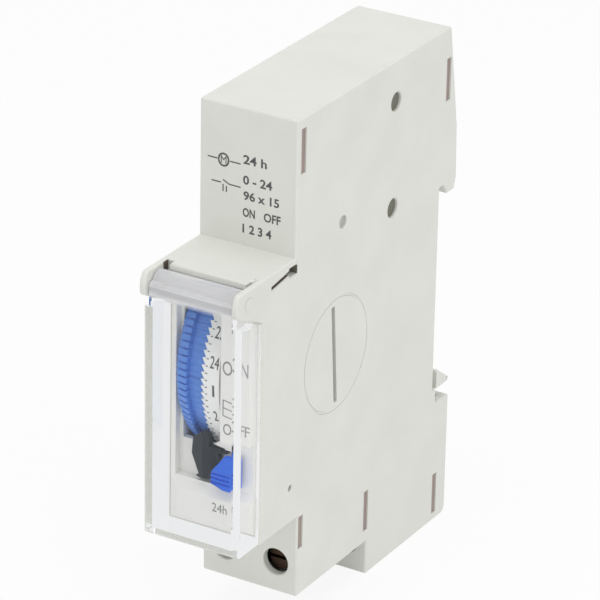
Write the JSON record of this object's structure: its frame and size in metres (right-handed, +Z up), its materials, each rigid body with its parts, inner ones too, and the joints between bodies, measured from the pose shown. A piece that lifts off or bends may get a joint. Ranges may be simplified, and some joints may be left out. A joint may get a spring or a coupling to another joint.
{
  "type": "mechanical time switch",
  "caption": "One-module mechanical time switch for a 35 mm rail: stepped pale housing, clear flip-up cover, dial ring with blue tappets, manual selector, sprung rail clip and screw terminals.",
  "frame": {"origin": "middle of the rail seat: mid width, rail centre line, plane that rests on the rail", "axes": "+X to the right seen from the front, +Y to the back, +Z up"},
  "size_m": [0.0176, 0.0681, 0.0889],
  "materials": {
    "housing": "moulded, fine matte",
    "panel": "moulded, fine matte",
    "clear": "clear polished polycarbonate",
    "dial_white": "moulded, fine matte",
    "tappet_blue": "moulded, satin",
    "selector_blue": "moulded, satin",
    "slate": "moulded, fine matte",
    "black": "moulded, fine matte",
    "board": "solder mask",
    "steel": "zinc plated",
    "brass": "plain, lightly worn",
    "copper": "lacquered wire"
  },
  "bodies": {
    "housing": {"main_shell": "housing", "side_cover": "housing", "front_panel": "panel", "dial_axle": "steel", "movement_plate": "dial_white", "movement_screws": "steel", "wheel_pins": "steel", "rotor_pin": "steel", "stator": "steel", "bobbin": "dial_white", "winding": "copper", "circuit_board": "board", "clock_chip": "black", "crystal": "steel", "capacitor": "slate", "resistors": "brass", "battery": "steel", "battery_tabs": "steel", "follower_pin": "steel", "switch_base": "slate", "fixed_contact": "brass", "switch_bars": "brass", "supply_bars": "brass", "barrier_plates": "slate", "clip_spring": "steel"},
    "cover": {"front_cover": "clear"},
    "clip": {"din_clip": "housing"},
    "dial": {"dial_drum": "dial_white", "dial_wheel": "black", "clutch_washer": "steel"},
    "tappets_1": {"tappets_a": "tappet_blue"},
    "tappets_2": {"tappets_b": "tappet_blue"},
    "tappets_3": {"tappets_c": "tappet_blue"},
    "tappets_4": {"tappets_d": "tappet_blue"},
    "wheel_1": {"wheel_a": "black"},
    "wheel_2": {"wheel_b": "black"},
    "rotor": {"rotor_magnet": "black", "rotor_pinion": "dial_white"},
    "follower": {"follower_lever": "slate"},
    "selector": {"manual_selector": "selector_blue"},
    "contact": {"moving_contact": "brass"},
    "screw_1": {"terminal_screw_1": "brass"},
    "clamp_1": {"terminal_clamp_1": "steel"},
    "screw_2": {"terminal_screw_2": "brass"},
    "clamp_2": {"terminal_clamp_2": "steel"},
    "screw_3": {"terminal_screw_3": "brass"},
    "clamp_3": {"terminal_clamp_3": "steel"},
    "screw_4": {"terminal_screw_4": "brass"},
    "clamp_4": {"terminal_clamp_4": "steel"}
  },
  "joints": [
    {"name": "cover_hinge", "type": "hinge", "parent": "housing", "child": "cover", "pos_m": [0, -0.059, 0.0203], "axis": [-1, 0, 0], "range_deg": [0, 105]},
    {"name": "dial_turn", "type": "hinge", "parent": "housing", "child": "dial", "pos_m": [0, -0.0392, 0.0044], "axis": [1, 0, 0], "continuous": true},
    {"name": "wheel_1_turn", "type": "hinge", "parent": "housing", "child": "wheel_1", "pos_m": [0, -0.03215, 0.01661], "axis": [1, 0, 0], "continuous": true},
    {"name": "wheel_2_turn", "type": "hinge", "parent": "housing", "child": "wheel_2", "pos_m": [0, -0.03215, 0.02841], "axis": [1, 0, 0], "continuous": true},
    {"name": "rotor_turn", "type": "hinge", "parent": "housing", "child": "rotor", "pos_m": [0, -0.02687, 0.03146], "axis": [1, 0, 0], "continuous": true},
    {"name": "tappets_1_slide", "type": "slide", "parent": "dial", "child": "tappets_1", "axis": [1, 0, 0], "range_m": [0, 0.0012]},
    {"name": "tappets_2_slide", "type": "slide", "parent": "dial", "child": "tappets_2", "axis": [1, 0, 0], "range_m": [0, 0.0012]},
    {"name": "tappets_3_slide", "type": "slide", "parent": "dial", "child": "tappets_3", "axis": [1, 0, 0], "range_m": [0, 0.0012]},
    {"name": "tappets_4_slide", "type": "slide", "parent": "dial", "child": "tappets_4", "axis": [1, 0, 0], "range_m": [0, 0.0012]},
    {"name": "selector_slide", "type": "slide", "parent": "housing", "child": "selector", "axis": [0, 0, 1], "range_m": [0, 0.002]},
    {"name": "follower_tilt", "type": "hinge", "parent": "housing", "child": "follower", "pos_m": [0, -0.0458, -0.0167], "axis": [1, 0, 0], "range_deg": [0, 3]},
    {"name": "contact_lift", "type": "hinge", "parent": "housing", "child": "contact", "pos_m": [0, -0.0168, -0.01685], "axis": [-1, 0, 0], "range_deg": [0, 5.5]},
    {"name": "clip_slide", "type": "slide", "parent": "housing", "child": "clip", "axis": [0, 0, -1], "range_m": [0, 0.0024], "stiffness_N_per_m": 800, "springref_m": -0.002, "deforming": ["clip_spring"]},
    {"name": "screw_1_turn", "type": "hinge", "parent": "housing", "child": "screw_1", "pos_m": [0.00477, -0.0416, -0.032], "axis": [0, 1, 0], "range_deg": [0, 1440]},
    {"name": "clamp_1_slide", "type": "slide", "parent": "housing", "child": "clamp_1", "axis": [0, -1, 0], "range_m": [0, 0.002]},
    {"name": "screw_2_turn", "type": "hinge", "parent": "housing", "child": "screw_2", "pos_m": [-0.00477, -0.0416, -0.032], "axis": [0, 1, 0], "range_deg": [0, 1440]},
    {"name": "clamp_2_slide", "type": "slide", "parent": "housing", "child": "clamp_2", "axis": [0, -1, 0], "range_m": [0, 0.002]},
    {"name": "screw_3_turn", "type": "hinge", "parent": "housing", "child": "screw_3", "pos_m": [0.00477, -0.01925, -0.0382], "axis": [0, 1, 0], "range_deg": [0, 1440]},
    {"name": "clamp_3_slide", "type": "slide", "parent": "housing", "child": "clamp_3", "axis": [0, -1, 0], "range_m": [0, 0.002]},
    {"name": "screw_4_turn", "type": "hinge", "parent": "housing", "child": "screw_4", "pos_m": [-0.00477, -0.01925, -0.0382], "axis": [0, 1, 0], "range_deg": [0, 1440]},
    {"name": "clamp_4_slide", "type": "slide", "parent": "housing", "child": "clamp_4", "axis": [0, -1, 0], "range_m": [0, 0.002]}
  ],
  "couplings": [
    {"joint": "wheel_1_turn", "follows": "dial_turn", "ratio": -6},
    {"joint": "wheel_2_turn", "follows": "dial_turn", "ratio": 9.6},
    {"joint": "rotor_turn", "follows": "dial_turn", "ratio": -28.8},
    {"joint": "follower_tilt", "follows": "selector_slide", "rad_per_m": 26.18},
    {"joint": "contact_lift", "follows": "selector_slide", "rad_per_m": 47.996},
    {"joint": "screw_1_turn", "follows": "clamp_1_slide", "rad_per_m": 12566},
    {"joint": "screw_2_turn", "follows": "clamp_2_slide", "rad_per_m": 12566},
    {"joint": "screw_3_turn", "follows": "clamp_3_slide", "rad_per_m": 12566},
    {"joint": "screw_4_turn", "follows": "clamp_4_slide", "rad_per_m": 12566}
  ]
}
